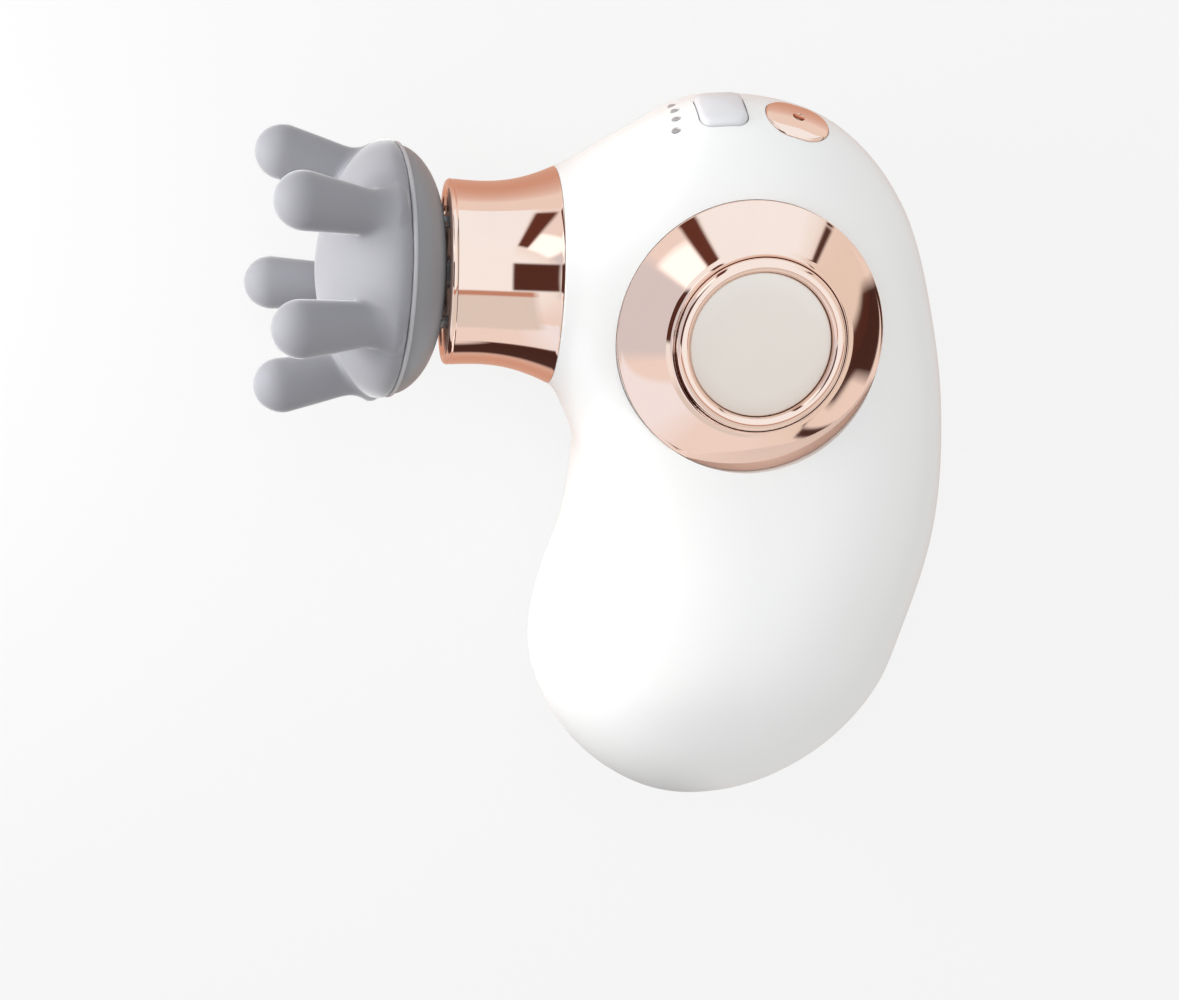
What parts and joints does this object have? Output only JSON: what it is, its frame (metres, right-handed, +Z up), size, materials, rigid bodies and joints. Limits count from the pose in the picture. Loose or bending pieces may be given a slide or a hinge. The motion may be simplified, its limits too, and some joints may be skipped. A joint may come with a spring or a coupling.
{
  "type": "electric scalp massager",
  "caption": "Hand-held electric scalp massager: curved white grip, flared collar, and a wobbling soft head with ball-tipped fingers.",
  "frame": {"origin": "centre of the flat ring on the far side disc's bead, on the table that the massager lies on", "axes": "+Z up through both side discs, square to the body's middle plane; -X along the neck toward the massage head; +Y toward the control row, with the grip toward -Y"},
  "size_m": [0.1311, 0.1358, 0.057],
  "materials": {
    "shell_white": "satin-gloss white moulded shell",
    "rose_gold": "mirror electroplated rose gold",
    "rose_satin": "satin rose gold pad",
    "silicone_grey": "matte grey silicone",
    "dish_grey": "matte grey plastic",
    "band_grey": "light grey ring",
    "button_grey": "satin light grey button",
    "dark_plastic": "black moulding",
    "steel": "ground steel",
    "can_steel": "zinc-plated steel can",
    "bronze": "sintered bronze",
    "brass": "cut brass",
    "gear_plastic": "natural acetal",
    "damper_rubber": "soft black rubber",
    "board_green": "solder-masked board",
    "light_clear": "clear light guide",
    "cell_wrap": "blue sleeved steel cell"
  },
  "bodies": {
    "handle": {"near_shell": "shell_white", "far_shell": "shell_white", "collar": "rose_gold", "nose_cover": "dark_plastic", "guide_pins": "steel", "gear_case": "gear_plastic", "ring_gear": "gear_plastic", "motor_plate": "steel", "shaft_bushes": "bronze", "motor_can": "can_steel", "motor_end_cap": "gear_plastic", "motor_dampers": "damper_rubber", "button_guide": "dark_plastic", "tact_switch": "can_steel", "circuit_board": "board_green", "status_leds": "light_clear", "light_guides": "light_clear", "charge_plate": "rose_gold", "charge_socket": "dark_plastic", "battery_cell": "cell_wrap", "battery_cradle": "dark_plastic", "case_screws": "steel", "screw_plug": "shell_white", "near_disc": "rose_gold", "far_disc": "rose_gold", "near_bead": "rose_gold", "far_bead": "rose_gold", "near_pad": "rose_satin", "far_pad": "rose_satin"},
    "rotor": {"motor_shaft": "steel", "sun_gear": "brass"},
    "planet_1": {"planet_gear_1": "gear_plastic"},
    "planet_2": {"planet_gear_2": "gear_plastic"},
    "planet_3": {"planet_gear_3": "gear_plastic"},
    "crank": {"crank_shaft": "steel", "planet_carrier": "steel", "crank_washer": "steel", "crank_screw": "steel"},
    "head": {"finger_pad": "silicone_grey", "head_dish": "dish_grey", "head_hub": "dark_plastic", "hub_sleeve": "bronze", "head_band": "band_grey", "head_core": "dark_plastic", "head_screws": "steel"},
    "button": {"button": "button_grey", "switch_plunger": "dark_plastic"}
  },
  "joints": [
    {"name": "crank_spin", "type": "hinge", "parent": "handle", "child": "crank", "pos_m": [-0.04, 0.007, 0.0285], "axis": [-1, 0, 0], "continuous": true},
    {"name": "head_turn", "type": "hinge", "parent": "crank", "child": "head", "pos_m": [-0.0635, 0.007, 0.0285], "axis": [-0.9877, 0.0378, 0.1518], "continuous": true},
    {"name": "rotor_spin", "type": "hinge", "parent": "handle", "child": "rotor", "pos_m": [-0.01, 0.007, 0.0285], "axis": [-1, 0, 0], "continuous": true},
    {"name": "planet_1_spin", "type": "hinge", "parent": "crank", "child": "planet_1", "pos_m": [-0.0233, 0.007, 0.0345], "axis": [-1, 0, 0], "continuous": true},
    {"name": "planet_2_spin", "type": "hinge", "parent": "crank", "child": "planet_2", "pos_m": [-0.0233, 0.0122, 0.0255], "axis": [-1, 0, 0], "continuous": true},
    {"name": "planet_3_spin", "type": "hinge", "parent": "crank", "child": "planet_3", "pos_m": [-0.0233, 0.0018, 0.0255], "axis": [-1, 0, 0], "continuous": true},
    {"name": "button_press", "type": "slide", "parent": "handle", "child": "button", "axis": [0.1176, -0.8904, -0.4397], "range_m": [0, 0.0005], "stiffness_N_per_m": 800}
  ],
  "couplings": [
    {"joint": "head_turn", "follows": "crank_spin", "ratio": -1},
    {"joint": "rotor_spin", "follows": "crank_spin", "ratio": 5},
    {"joint": "planet_1_spin", "follows": "crank_spin", "ratio": -2.6667},
    {"joint": "planet_2_spin", "follows": "crank_spin", "ratio": -2.6667},
    {"joint": "planet_3_spin", "follows": "crank_spin", "ratio": -2.6667}
  ]
}
